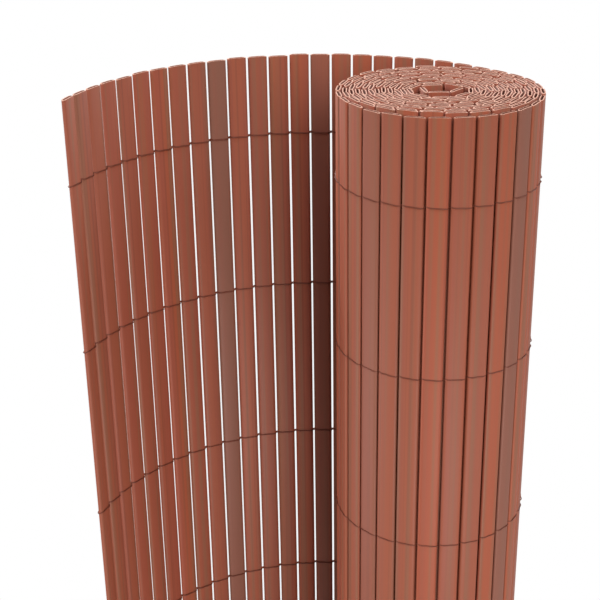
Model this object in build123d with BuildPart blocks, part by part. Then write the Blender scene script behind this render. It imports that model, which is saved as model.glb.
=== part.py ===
"""A PVC privacy screen: hollow slats stitched with rows of wire, standing as a roll with one end unrolled.

The mat is laid out in plan about the roll's axis, from its inner end outwards, and +X is to the
right as one faces the roll. The slats stand along +Z on the floor.
"""

import os
from math import atan, cos, hypot, pi, radians, sin

from build123d import *

# The slat is an extruded flat tube with tapered edges and open ends.
slat_length = 900.0
slat_width = 11.4
slat_thickness = 2.6
slat_taper = 1.1
face_wall = 0.6
edge_wall = 1.3

# The mat is 242 slats at an even pitch, which comes to 3 m unrolled.
slat_gap = 1.1
rolled_slats = 214
unrolled_slats = 24

# The roll winds outwards from its core, and its last slat stands behind and to the right.
core_radius = 14.15
turn_clearance = 0.2
leave_angle = 36.6
front_rise = 2.2

# The inner end folds up in the core, one bend for each slat from the roll inwards, and the outer
# end sweeps away in one wide bend.
tail_bends = (89.0, 49.0, 81.0, 90.0)
sweep_radius = 139.7

# Rows of stitching, as drops from the top end: four as they lie, then even ones to the bottom.
wire_size = 0.6
wire_seat = 0.1
row_margin = 47.5
second_row_drop = 145.7
third_row_drop = 252.1
fourth_row_drop = 357.9
lower_rows = 5
bare_slats = 4

half_pitch = (slat_width + slat_gap) / 2
face_half = slat_width / 2 - slat_taper
corner_rise = hypot(core_radius + slat_thickness / 2, face_half) - core_radius - slat_thickness / 2
turn_pitch = slat_thickness + corner_rise + turn_clearance


def next_slat(pose, bend, way):
    """The slat after this one (way 1) or before it (way -1), hinged at the middle of their gap."""
    x, y, heading = pose
    x += way * half_pitch * cos(heading)
    y += way * half_pitch * sin(heading)
    heading += way * bend
    x += way * half_pitch * cos(heading)
    y += way * half_pitch * sin(heading)
    return x, y, heading


def wind_roll():
    """Slats of the roll, each square to its radius, as (x, y, heading) from the core outwards."""
    radius = core_radius
    angle = 0.0
    polar = []
    for _ in range(rolled_slats):
        polar.append((radius, angle))
        outer = radius + turn_pitch * 2 * atan(half_pitch / radius) / (2 * pi)
        angle += atan(half_pitch / radius) + atan(half_pitch / outer)
        radius = outer
    spin = radians(leave_angle) - polar[-1][1]
    return [(r * cos(a + spin), r * sin(a + spin), a + spin + pi / 2) for r, a in polar]


def point_on(pose, along, side):
    """A point of one slat, measured along the mat from its middle and to the left of it."""
    x, y, heading = pose
    x += along * cos(heading) - side * sin(heading)
    y += along * sin(heading) + side * cos(heading)
    return x, y


def turning_point(before, after, side):
    """Where a line at this distance to the left of the slats turns from one to the next."""
    start_x, start_y = point_on(before, 0, side)
    end_x, end_y = point_on(after, 0, side)
    run = (end_x - start_x) * sin(after[2]) - (end_y - start_y) * cos(after[2])
    return point_on(before, run / sin(after[2] - before[2]), side)


def strand_edge(slats, side):
    """The turning points of a line along one face of these slats."""
    return [turning_point(a, b, side) for a, b in zip(slats, slats[1:])]


def lean(pose):
    """How far the end of an inner slat stands proud: most at the roll's front, none behind."""
    return front_rise * max(0.0, -pose[1]) / outer_radius


roll = wind_roll()
outer_radius = hypot(roll[-1][0], roll[-1][1])

tail = []
for bend in tail_bends:
    tail.insert(0, next_slat((tail + roll)[0], radians(bend), -1))

sweep_bend = atan(half_pitch / sweep_radius)
sweep = [next_slat(roll[-1], atan(half_pitch / outer_radius) + sweep_bend, 1)]
for _ in range(unrolled_slats - 1):
    sweep.append(next_slat(sweep[-1], 2 * sweep_bend, 1))

# The roll's slats by turn, the outermost first.
turns = []
for pose in reversed(roll):
    turn = int((roll[-1][2] - pose[2]) / (2 * pi))
    if turn == len(turns):
        turns.append([])
    turns[turn].append(pose)


def slat_group(poses, rises):
    """Slats extruded from one section, drawn flat on the floor at each pose."""
    planes = [
        Plane(origin=(x, y, rise), x_dir=(cos(heading), sin(heading), 0), z_dir=(0, 0, 1))
        for (x, y, heading), rise in zip(poses, rises)
    ]
    with BuildPart() as group:
        with BuildSketch(*planes):
            with BuildLine():
                Polyline(
                    (slat_width / 2, 0),
                    (face_half, slat_thickness / 2),
                    (-face_half, slat_thickness / 2),
                    (-slat_width / 2, 0),
                    (-face_half, -slat_thickness / 2),
                    (face_half, -slat_thickness / 2),
                    close=True,
                )
            make_face()
            Rectangle(
                slat_width - 2 * edge_wall,
                slat_thickness - 2 * face_wall,
                mode=Mode.SUBTRACT,
            )
        extrude(amount=slat_length)
    return group.part


def stitch_wire(drop):
    """One row: a wire round the open end of the mat, and its other end inside the core."""
    near = slat_thickness / 2 + wire_seat
    far = near + wire_size
    tip = slat_width / 2 + wire_seat
    last = sweep[-1]
    outside = list(reversed(turns[0]))[bare_slats:] + sweep
    inside = sweep[bare_slats:]
    core = tail + roll[:1]
    loop = (
        [point_on(outside[0], 0, -far)]
        + strand_edge(outside, -far)
        + [point_on(last, tip + wire_size, -far), point_on(last, tip + wire_size, far)]
        + list(reversed(strand_edge(inside, far)))
        + [point_on(inside[0], 0, far), point_on(inside[0], 0, near)]
        + strand_edge(inside, near)
        + [point_on(last, tip, near), point_on(last, tip, -near)]
        + list(reversed(strand_edge(outside, -near)))
        + [point_on(outside[0], 0, -near)]
    )
    inner = (
        [point_on(core[0], -face_half, near)]
        + strand_edge(core, near)
        + [point_on(core[-1], 0, near), point_on(core[-1], 0, far)]
        + list(reversed(strand_edge(core, far)))
        + [point_on(core[0], -face_half, far)]
    )
    with BuildPart() as wire:
        with BuildSketch(Plane.XY.offset(slat_length - drop - wire_size / 2)):
            for outline in (loop, inner):
                with BuildLine():
                    Polyline(*outline, close=True)
                make_face()
        extrude(amount=wire_size)
    return wire.part


row_drops = [row_margin, second_row_drop, third_row_drop, fourth_row_drop]
lower_pitch = (slat_length - row_margin - fourth_row_drop) / lower_rows
for row in range(lower_rows):
    row_drops.append(fourth_row_drop + (row + 1) * lower_pitch)

pieces = {"core_tail_slats": slat_group(tail, [lean(pose) for pose in tail])}
for number, poses in enumerate(turns, start=1):
    rises = [0.0 if number == 1 else lean(pose) for pose in poses]
    pieces[f"roll_turn_{number:02d}"] = slat_group(poses, rises)
for number, pose in enumerate(reversed(sweep), start=1):
    pieces[f"unrolled_slat_{number:02d}"] = slat_group([pose], [0.0])
for number, drop in enumerate(row_drops, start=1):
    pieces[f"stitch_wire_{number}"] = stitch_wire(drop)

# The origin is on the floor, under the middle of the whole screen.
boxes = [piece.bounding_box() for piece in pieces.values()]
middle_x = (min(box.min.X for box in boxes) + max(box.max.X for box in boxes)) / 2
middle_y = (min(box.min.Y for box in boxes) + max(box.max.Y for box in boxes)) / 2

os.makedirs("parts", exist_ok=True)
for name, piece in pieces.items():
    placed = Pos(-middle_x, -middle_y, 0) * piece
    placed.label = name
    export_step(placed, f"parts/{name}.step")
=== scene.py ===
import random
from math import atan2, copysign, cos, pi, radians, sin, sqrt, tau

import bmesh
import bpy
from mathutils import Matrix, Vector


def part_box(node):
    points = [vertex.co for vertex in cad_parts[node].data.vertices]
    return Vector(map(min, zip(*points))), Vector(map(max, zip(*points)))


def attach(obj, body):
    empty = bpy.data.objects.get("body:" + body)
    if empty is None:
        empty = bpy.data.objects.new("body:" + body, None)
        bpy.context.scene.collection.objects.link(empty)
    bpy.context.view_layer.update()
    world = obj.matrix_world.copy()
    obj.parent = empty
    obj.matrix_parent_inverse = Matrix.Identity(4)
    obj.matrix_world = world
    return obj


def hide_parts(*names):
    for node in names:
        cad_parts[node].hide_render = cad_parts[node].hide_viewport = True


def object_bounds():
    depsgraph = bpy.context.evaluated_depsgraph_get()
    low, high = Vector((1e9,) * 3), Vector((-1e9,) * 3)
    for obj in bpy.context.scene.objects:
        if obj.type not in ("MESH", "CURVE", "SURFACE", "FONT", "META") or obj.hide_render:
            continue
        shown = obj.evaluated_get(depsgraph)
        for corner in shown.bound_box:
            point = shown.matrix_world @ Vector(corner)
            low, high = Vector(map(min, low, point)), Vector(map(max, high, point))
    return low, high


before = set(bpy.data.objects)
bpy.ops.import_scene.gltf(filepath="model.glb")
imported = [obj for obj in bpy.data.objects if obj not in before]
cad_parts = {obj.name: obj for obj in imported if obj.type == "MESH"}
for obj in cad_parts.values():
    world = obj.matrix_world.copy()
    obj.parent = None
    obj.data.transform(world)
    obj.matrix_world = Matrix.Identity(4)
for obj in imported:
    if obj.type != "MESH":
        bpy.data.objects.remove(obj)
cad_box = [list(corner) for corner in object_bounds()]


# The slats are flat hollow tubes of rigid PVC, extruded in a mottled red-brown and sawn to length,
# which wears the corners of each end. They stand edge to edge with a narrow gap, and each one's
# place is read from its solid.
mm = 0.001
slat_width = 11.4 * mm
slat_thickness = 2.6 * mm
face_wall = 0.6 * mm
edge_wall = 0.9 * mm
edge_roundness = 0.3
corner_drop = 0.4 * mm
corner_power = 4
saw_tolerance = 0.7 * mm
loose_turn = radians(1.3)
loose_shift = 0.12 * mm
outline_points = 32
weld_distance = 0.002 * mm
noise_spread = 97
skin_slot, hollow_slot, sawn_slot = 0, 1, 2
chance = random.Random(11)
axis_low, axis_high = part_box("roll_turn_12")
roll_axis = ((axis_low + axis_high) / 2).xy


def slats_of(node):
    """Each slat of a CAD node: its middle in plan, the direction of its width, and its two ends."""
    solid = bmesh.new()
    solid.from_mesh(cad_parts[node].data)
    bmesh.ops.remove_doubles(solid, verts=solid.verts, dist=weld_distance)
    slats = []
    for first in solid.verts:
        if first.tag:
            continue
        first.tag = True
        island = [first]
        for vert in island:
            for edge in vert.link_edges:
                other = edge.other_vert(vert)
                if not other.tag:
                    other.tag = True
                    island.append(other)
        low = min(vert.co.z for vert in island)
        high = max(vert.co.z for vert in island)
        corners = [vert.co.xy for vert in island]
        middle = sum(corners, Vector((0, 0))) / len(corners)
        tip = max(corners, key=lambda corner: (corner - middle).length)
        along = (tip - middle).normalized()
        slats.append({"middle": middle, "along": along, "low": low, "high": high})
    solid.free()
    return slats


def flat_tube(half_width, half_thickness):
    """The outline of a flat tube: gently crowned faces that round off into two blunt edges."""
    outline = []
    for point in range(outline_points):
        angle = tau * point / outline_points
        across = half_width * copysign(abs(cos(angle)) ** edge_roundness, cos(angle))
        outline.append((across, half_thickness * sin(angle)))
    return outline


def add_object(name, data):
    """A new object in the scene."""
    made = bpy.data.objects.new(name, data)
    bpy.context.scene.collection.objects.link(made)
    return made


def slat_group(name, slats, slat_tints):
    """Hollow slats as one mesh, with each point's place in millimetres and tint for the material."""
    skin = flat_tube(slat_width / 2, slat_thickness / 2)
    hollow = flat_tube(slat_width / 2 - edge_wall, slat_thickness / 2 - face_wall)
    verts = []
    faces = []
    surfaces = []
    places = []
    shades = []
    for slat, tint in zip(slats, slat_tints):
        # Each slat starts at its own place in the noise, so that its streaks are its own.
        noise_start = noise_spread * chance.random()
        turn = chance.uniform(-loose_turn, loose_turn)
        shift = chance.uniform(-loose_shift, loose_shift)
        across_x = slat["along"].x * cos(turn) - slat["along"].y * sin(turn)
        across_y = slat["along"].x * sin(turn) + slat["along"].y * cos(turn)
        top = slat["high"] + chance.uniform(-saw_tolerance, 0)
        start = len(verts)
        for outline in (skin, hollow):
            for end, inward in ((slat["low"], 1), (top, -1)):
                for across, depth in outline:
                    x = slat["middle"].x + (across + shift) * across_x - depth * across_y
                    y = slat["middle"].y + (across + shift) * across_y + depth * across_x
                    height = end + inward * corner_drop * (2 * across / slat_width) ** corner_power
                    verts.append((x, y, height))
                    places.append((across / mm, depth / mm + noise_start, height / mm))
                    shades.append(tint)
        for point in range(outline_points):
            after = (point + 1) % outline_points
            skin_low, skin_top, hollow_low, hollow_top = (
                (start + ring * outline_points + point, start + ring * outline_points + after)
                for ring in range(4)
            )
            faces.append((skin_low[0], skin_low[1], skin_top[1], skin_top[0]))
            faces.append((hollow_low[1], hollow_low[0], hollow_top[0], hollow_top[1]))
            faces.append((skin_top[0], skin_top[1], hollow_top[1], hollow_top[0]))
            faces.append((skin_low[1], skin_low[0], hollow_low[0], hollow_low[1]))
            surfaces += [skin_slot, hollow_slot, sawn_slot, sawn_slot]
    mesh = bpy.data.meshes.new(name)
    mesh.from_pydata(verts, [], faces)
    for material in (extruded_pvc, inner_pvc, sawn_pvc):
        mesh.materials.append(material)
    mesh.polygons.foreach_set("use_smooth", [surface != sawn_slot for surface in surfaces])
    mesh.polygons.foreach_set("material_index", surfaces)
    place = mesh.attributes.new("slat_place", "FLOAT_VECTOR", "POINT")
    place.data.foreach_set("vector", [value for point in places for value in point])
    shade = mesh.attributes.new("slat_tint", "FLOAT", "POINT")
    shade.data.foreach_set("value", shades)
    return add_object(name, mesh)


def linear(colour):
    """An sRGB hex colour as linear RGBA."""
    channels = [int(colour[k : k + 2], 16) / 255 for k in (0, 2, 4)]
    return [c / 12.92 if c <= 0.04045 else ((c + 0.055) / 1.055) ** 2.4 for c in channels] + [1.0]


def add_node(tree, kind, inputs=None, **settings):
    """Adds a node. Each input takes a value, or the output socket that feeds it."""
    made = tree.nodes.new(kind)
    for name, value in settings.items():
        setattr(made, name, value)
    for name, value in (inputs or {}).items():
        if isinstance(value, bpy.types.NodeSocket):
            tree.links.new(value, made.inputs[name])
        else:
            made.inputs[name].default_value = value
    return made


def new_material(name):
    """An empty node material and its tree."""
    material = bpy.data.materials.new(name)
    material.use_nodes = True
    material.node_tree.nodes.clear()
    return material, material.node_tree


def streaks(tree, place, width, length, detail):
    """Noise drawn out along the slat: streaks of this width and length in millimetres."""
    stretch = (1 / width, 1 / width, 1 / length)
    scaled = add_node(tree, "ShaderNodeVectorMath", {0: place, 1: stretch}, operation="MULTIPLY")
    return add_node(
        tree,
        "ShaderNodeTexNoise",
        {"Vector": scaled.outputs[0], "Scale": 1.0, "Detail": detail, "Roughness": 0.5},
    ).outputs["Fac"]


# Extruded PVC comes out of the die with a satin skin. The pigments don't mix fully, so each slat
# has its own tone, and soft bands of orange, olive and dark brown run along it. The lines of the
# die are too fine to show and are drawn half a millimetre wide.
pvc_ior = 1.53
red_brown = linear("a2523c")
mauve_brown = linear("885848")
bands = (
    # width and length in mm, the levels of the noise between which the colour comes in, its share
    (5.0, 900.0, 0.35, 0.65, 0.7, linear("aa5638")),
    (3.2, 700.0, 0.46, 0.70, 0.65, linear("8e6046")),
    (1.6, 500.0, 0.55, 0.75, 0.4, linear("7c402e")),
)
# A mix has sockets of the same names for other kinds of value, so its colour sockets go by number.
mix_factor, mix_a, mix_b, mix_out = 0, 6, 7, 2
extruded_pvc, tree = new_material("extruded_pvc")
place = add_node(tree, "ShaderNodeAttribute", attribute_name="slat_place").outputs["Vector"]
tint = add_node(tree, "ShaderNodeAttribute", attribute_name="slat_tint").outputs["Fac"]
colour = red_brown
for width, length, low, high, share, tone in bands:
    noise = streaks(tree, place, width, length, 1.0)
    levels = {"Value": noise, "From Min": low, "From Max": high, "To Max": share}
    band = add_node(
        tree, "ShaderNodeMapRange", levels, interpolation_type="SMOOTHSTEP"
    ).outputs[0]
    colour = add_node(
        tree, "ShaderNodeMix", {mix_factor: band, mix_a: colour, mix_b: tone}, data_type="RGBA"
    ).outputs[mix_out]
colour = add_node(
    tree, "ShaderNodeMix", {mix_factor: tint, mix_a: colour, mix_b: mauve_brown}, data_type="RGBA"
).outputs[mix_out]
die_lines = streaks(tree, place, 0.5, 150.0, 3.0)
sheen = add_node(
    tree, "ShaderNodeMapRange", {"Value": die_lines, "To Min": 0.42, "To Max": 0.6}
).outputs[0]
ridges = add_node(
    tree, "ShaderNodeBump", {"Height": die_lines, "Strength": 0.08, "Distance": 0.1 * mm}
).outputs[0]
skin = {
    "Base Color": colour,
    "Roughness": sheen,
    "IOR": pvc_ior,
    "Specular IOR Level": 0.28,
    "Normal": ridges,
}
surface = add_node(tree, "ShaderNodeBsdfPrincipled", skin).outputs[0]
add_node(tree, "ShaderNodeOutputMaterial", {"Surface": surface})

# Inside the tube, below the cut, the surface is dull and its mottled brown is painted darker than
# the skin: painted shade for the deep hollow.
inner_pvc, tree = new_material("inner_pvc")
place = add_node(tree, "ShaderNodeAttribute", attribute_name="slat_place").outputs["Vector"]
hollow_mottle = streaks(tree, place, 1.5, 60.0, 2.0)
# Both browns are darker than the skin's red-brown: painted shade inside the hollow, mottled at
# random.
hollow_shade_colour = add_node(
    tree,
    "ShaderNodeMix",
    {mix_factor: hollow_mottle, mix_a: linear("6c3828"), mix_b: linear("8c503c")},
    data_type="RGBA",
).outputs[mix_out]
surface = add_node(
    tree, "ShaderNodeBsdfPrincipled", {"Base Color": hollow_shade_colour, "Roughness": 0.8, "IOR": pvc_ior}
).outputs[0]
add_node(tree, "ShaderNodeOutputMaterial", {"Surface": surface})

# The saw leaves the cut ends paler and rougher than the skin, with scratches on the wall that are
# drawn as coarse as they need to show.
sawn_pvc, tree = new_material("sawn_pvc")
place = add_node(tree, "ShaderNodeAttribute", attribute_name="slat_place").outputs["Vector"]
scratch = add_node(
    tree,
    "ShaderNodeMapRange",
    {"Value": streaks(tree, place, 0.7, 0.7, 2.0), "From Min": 0.35, "From Max": 0.65},
    interpolation_type="SMOOTHSTEP",
).outputs[0]
pale = add_node(
    tree,
    "ShaderNodeMix",
    {mix_factor: scratch, mix_a: linear("d89c86"), mix_b: linear("eebea8")},
    data_type="RGBA",
).outputs[mix_out]
cut = {"Base Color": pale, "Roughness": 0.8, "IOR": pvc_ior, "Specular IOR Level": 0.2}
surface = add_node(tree, "ShaderNodeBsdfPrincipled", cut).outputs[0]
add_node(tree, "ShaderNodeOutputMaterial", {"Surface": surface})

# Most slats have only a little of the mauve brown. Four are greyer than the rest: two of the
# unrolled end, and two of the outermost turn at these bearings from the roll's axis. The grey of
# unrolled slat 15, next to the roll, is partly its own tone and partly painted shade for the roll's
# shadow on it.
usual_tint = 0.35
# Slat 15's grey share is partly painted shade for the roll's shadow falling on it.
unrolled_tints_and_shade = {"unrolled_slat_10": 0.85, "unrolled_slat_15": 0.55}
turn_tints = ((radians(229), 0.5), (radians(321), 0.85))
slat_nodes = [name for name in sorted(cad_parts) if not name.startswith("stitch_wire")]
mat = {name: slats_of(name) for name in slat_nodes}
tints = {name: [chance.uniform(0.0, usual_tint) for _ in mat[name]] for name in slat_nodes}
for name, share in unrolled_tints_and_shade.items():
    tints[name] = [share]
outer_turn = mat["roll_turn_01"]
for bearing, share in turn_tints:
    facing = Vector((cos(bearing), sin(bearing)))
    reaches = [(slat["middle"] - roll_axis).dot(facing) for slat in outer_turn]
    tints["roll_turn_01"][reaches.index(max(reaches))] = share
for name in slat_nodes:
    piece = slat_group("pvc_" + name, mat[name], tints[name])
    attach(piece, "root")
    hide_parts(name)


# The stitch wires are pairs of thin steel strands in a brown plastic coat. One strand lies on each
# face of the mat, the heavier one inside, and in every gap the two twist once and grip the slats.
outer_radius = 0.32 * mm
inner_radius = 0.42 * mm
twist_radius = 0.5 * mm
twist_reach = 0.5 * mm
strand_slope = 0.4 * mm
face_reach = 0.8
bare_slats = 4


def in_order(slats):
    """Slats in the order of the mat, each with its width turned the way the mat runs."""
    for k, slat in enumerate(slats):
        before = slats[max(k - 1, 0)]["middle"]
        after = slats[min(k + 1, len(slats) - 1)]["middle"]
        if slat["along"].dot(after - before) < 0:
            slat["along"] = -slat["along"]
    return slats


def angle_past(slat, start):
    """How far a slat stands round the roll from a starting direction, anticlockwise."""
    arm = slat["middle"] - roll_axis
    return (atan2(arm.y, arm.x) - start) % tau


def strand(slats, side, radius):
    """Points and radius of a strand on one face: left of the mat's run (1) or right of it (-1)."""
    half = slat_width / 2
    points = []
    for k, slat in enumerate(slats):
        left = Vector((-slat["along"].y, slat["along"].x))
        for share in (-face_reach, 0.0, face_reach):
            rise = slat_thickness / 2 * sqrt(1 - abs(share) ** (2 / edge_roundness)) + radius
            spot = slat["middle"] + share * half * slat["along"] + side * rise * left
            points.append((Vector((spot.x, spot.y, side * strand_slope * share)), radius))
        if k + 1 < len(slats):
            after = slats[k + 1]
            run = (after["middle"] - slat["middle"]).normalized()
            across = Vector((-run.y, run.x))
            near_edge = slat["middle"] + half * slat["along"]
            far_edge = after["middle"] - half * after["along"]
            hinge = (near_edge + far_edge) / 2
            for step, turn in ((-1, pi / 2), (0, pi), (1, 3 * pi / 2)):
                spot = hinge + step * twist_reach * run + side * twist_radius * cos(turn) * across
                points.append((Vector((spot.x, spot.y, side * twist_radius * sin(turn))), radius))
    return points


# A wire is drawn where it can be seen: on the outermost turn and the unrolled end, and on the tail
# that is folded up in the core.
unrolled_names = [name for name in slat_nodes if name.startswith("unrolled_slat")]
unrolled = [mat[name][0] for name in reversed(unrolled_names)]
last_arm = unrolled[0]["middle"] - roll_axis
leaving = atan2(last_arm.y, last_arm.x)
outer_turn = sorted(outer_turn, key=lambda slat: angle_past(slat, leaving))
open_end = in_order(outer_turn + unrolled)
tail = sorted(mat["core_tail_slats"], key=lambda slat: (slat["middle"] - roll_axis).length)
tail_foot = tail[-1]["middle"]
inner_turn = sorted(mat["roll_turn_12"], key=lambda slat: (slat["middle"] - tail_foot).length)
core_end = in_order(tail + inner_turn[:1])

# It runs along the outside, round the free edge and back along the inside, and both of its ends
# stop short of where the mat lies close on itself.
free_slat = open_end[-1]
tip = free_slat["middle"] + (slat_width / 2 + outer_radius) * free_slat["along"]
outside = strand(open_end[bare_slats:], -1, outer_radius)
inside = strand(open_end[len(outer_turn) + bare_slats :], 1, inner_radius)
loop = outside + [(Vector((tip.x, tip.y, 0.0)), outer_radius)] + inside[::-1]
core_strand = strand(core_end, 1, inner_radius)

# The brown coat is thin plastic with a low sheen, a little uneven in tone along the wire.
coated_wire, tree = new_material("coated_wire")
spot = add_node(tree, "ShaderNodeTexCoord").outputs["Object"]
uneven = add_node(
    tree, "ShaderNodeTexNoise", {"Vector": spot, "Scale": 1 / (6 * mm), "Detail": 2.0}
).outputs["Fac"]
coat_colour = add_node(
    tree,
    "ShaderNodeMix",
    {mix_factor: uneven, mix_a: linear("643224"), mix_b: linear("824634")},
    data_type="RGBA",
).outputs[mix_out]
coat_grain = add_node(
    tree, "ShaderNodeBump", {"Height": uneven, "Strength": 0.1, "Distance": 0.05 * mm}
).outputs[0]
coat = {
    "Base Color": coat_colour,
    "Roughness": 0.5,
    "Specular IOR Level": 0.25,
    "Normal": coat_grain,
}
surface = add_node(tree, "ShaderNodeBsdfPrincipled", coat).outputs[0]
add_node(tree, "ShaderNodeOutputMaterial", {"Surface": surface})

# A bevel of one metre leaves each knot's own radius as the strand's.
for node in [name for name in sorted(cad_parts) if name.startswith("stitch_wire")]:
    low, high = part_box(node)
    height = (low.z + high.z) / 2
    path = bpy.data.curves.new("wire_path", "CURVE")
    path.dimensions = "3D"
    path.bevel_depth = 1.0
    path.bevel_resolution = 1
    path.resolution_u = 3
    for points in (loop, core_strand):
        spline = path.splines.new("BEZIER")
        spline.bezier_points.add(len(points) - 1)
        for knot, (point, radius) in zip(spline.bezier_points, points):
            knot.co = point + Vector((0, 0, height))
            knot.radius = radius
            knot.handle_left_type = knot.handle_right_type = "AUTO"
    carrier = add_object("wire_path", path)
    mesh = bpy.data.meshes.new_from_object(carrier)
    bpy.data.objects.remove(carrier)
    mesh.materials.append(coated_wire)
    mesh.polygons.foreach_set("use_smooth", [True] * len(mesh.polygons))
    piece = add_object("twisted_" + node, mesh)
    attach(piece, "root")
    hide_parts(node)


# The studio floor is painted pale and shows the screen's shadow. Further out it turns plain white
# for the camera, so that it runs into the surround.
floor_size = 12.0
floor_drop = 0.2 * mm
shadow_near = 0.35
shadow_far = 0.70


def seen_directly(tree):
    """1 on what the camera sees, also by reflection or through something clear, and else 0."""
    ray = add_node(tree, "ShaderNodeLightPath").outputs
    seen = ray["Is Camera Ray"]
    for kind in ("Is Glossy Ray", "Is Transmission Ray"):
        pair = {0: seen, 1: ray[kind]}
        seen = add_node(tree, "ShaderNodeMath", pair, operation="MAXIMUM").outputs[0]
    return seen


pale_floor, tree = new_material("pale_floor")
spot = add_node(tree, "ShaderNodeTexCoord").outputs["Object"]
reach = add_node(tree, "ShaderNodeVectorMath", {0: spot}, operation="LENGTH").outputs["Value"]
fade = add_node(
    tree,
    "ShaderNodeMapRange",
    {"Value": reach, "From Min": shadow_near, "From Max": shadow_far},
    interpolation_type="SMOOTHSTEP",
).outputs[0]
white_share = add_node(
    tree, "ShaderNodeMath", {0: seen_directly(tree), 1: fade}, operation="MULTIPLY"
).outputs[0]
paint = add_node(tree, "ShaderNodeBsdfDiffuse", {"Color": linear("e8e8e8")}).outputs[0]
white = {"Color": linear("ffffff"), "Strength": 1.0}
glow = add_node(tree, "ShaderNodeEmission", white).outputs[0]
shown = add_node(tree, "ShaderNodeMixShader", {0: white_share, 1: paint, 2: glow}).outputs[0]
add_node(tree, "ShaderNodeOutputMaterial", {"Surface": shown})
mesh = bpy.data.meshes.new("studio_floor")
half = floor_size / 2
corners = [(-half, -half), (half, -half), (half, half), (-half, half)]
mesh.from_pydata([(x, y, -floor_drop) for x, y in corners], [], [(0, 1, 2, 3)])
mesh.materials.append(pale_floor)
floor = add_object("studio_floor", mesh)

# The surround is plain white to look at, and fills the shadows with a faint even light.
fill = {"Color": linear("ffffff"), "Strength": 0.19}
world = bpy.data.worlds.new("white_surround")
bpy.context.scene.world = world
world.use_nodes = True
tree = world.node_tree
tree.nodes.clear()
dim = add_node(tree, "ShaderNodeBackground", fill).outputs[0]
bright = add_node(tree, "ShaderNodeBackground", white).outputs[0]
sky = add_node(tree, "ShaderNodeMixShader", {0: seen_directly(tree), 1: dim, 2: bright}).outputs[0]
add_node(tree, "ShaderNodeOutputWorld", {"Surface": sky})

# Three tall soft boxes stand round the front, raised above the screen and tipped down to it, at
# bearings from straight in front. A small one behind and above lights the cut ends.
box_distance = 2.5
box_rise = 1.0
box_width = 1.0
box_length = 2.0
aim_height = 0.7
back_distance = 1.65
back_bearing = radians(190)
back_elevation = radians(33)
back_width = 0.6
back_power = 27.0


def soft_box(name, place, target, width, length, power):
    """A soft box that stands at a place and faces a target."""
    lamp = bpy.data.lights.new(name, "AREA")
    lamp.shape = "RECTANGLE"
    lamp.size = width
    lamp.size_y = length
    lamp.energy = power
    stand = add_object(name, lamp)
    stand.location = place
    stand.rotation_euler = (place - target).to_track_quat("Z", "Y").to_euler()
    stand.visible_camera = False


aim = Vector((roll_axis.x, roll_axis.y, aim_height))
for name, bearing, power in (
    ("left_box", radians(-80), 36.0),
    ("front_box", radians(19), 45.0),
    ("right_box", radians(72), 13.0),
):
    place = aim + Vector((box_distance * sin(bearing), -box_distance * cos(bearing), box_rise))
    soft_box(name, place, aim, box_width, box_length, power)
roll_top = Vector((roll_axis.x, roll_axis.y, cad_box[1][2]))
reach = back_distance * cos(back_elevation)
rise = back_distance * sin(back_elevation)
place = roll_top + Vector((reach * sin(back_bearing), -reach * cos(back_bearing), rise))
soft_box("back_box", place, roll_top, back_width, back_width / 2, back_power)

# The camera looks down on the top of the roll, and the picture's frame lies a little to its left.
eye = (0.0258, -0.7169, 1.0812)
look_down = radians(24.66)
look_left = radians(0.33)
camera = bpy.data.cameras.new("camera")
camera.sensor_width = 36.0
camera.lens = 80.3
camera.shift_x = -0.0786
camera.shift_y = 0.05
view = add_object("camera", camera)
view.location = eye
view.rotation_euler = (pi / 2 - look_down, 0.0, look_left)
bpy.context.scene.camera = view
bpy.context.scene.view_settings.view_transform = "Standard"
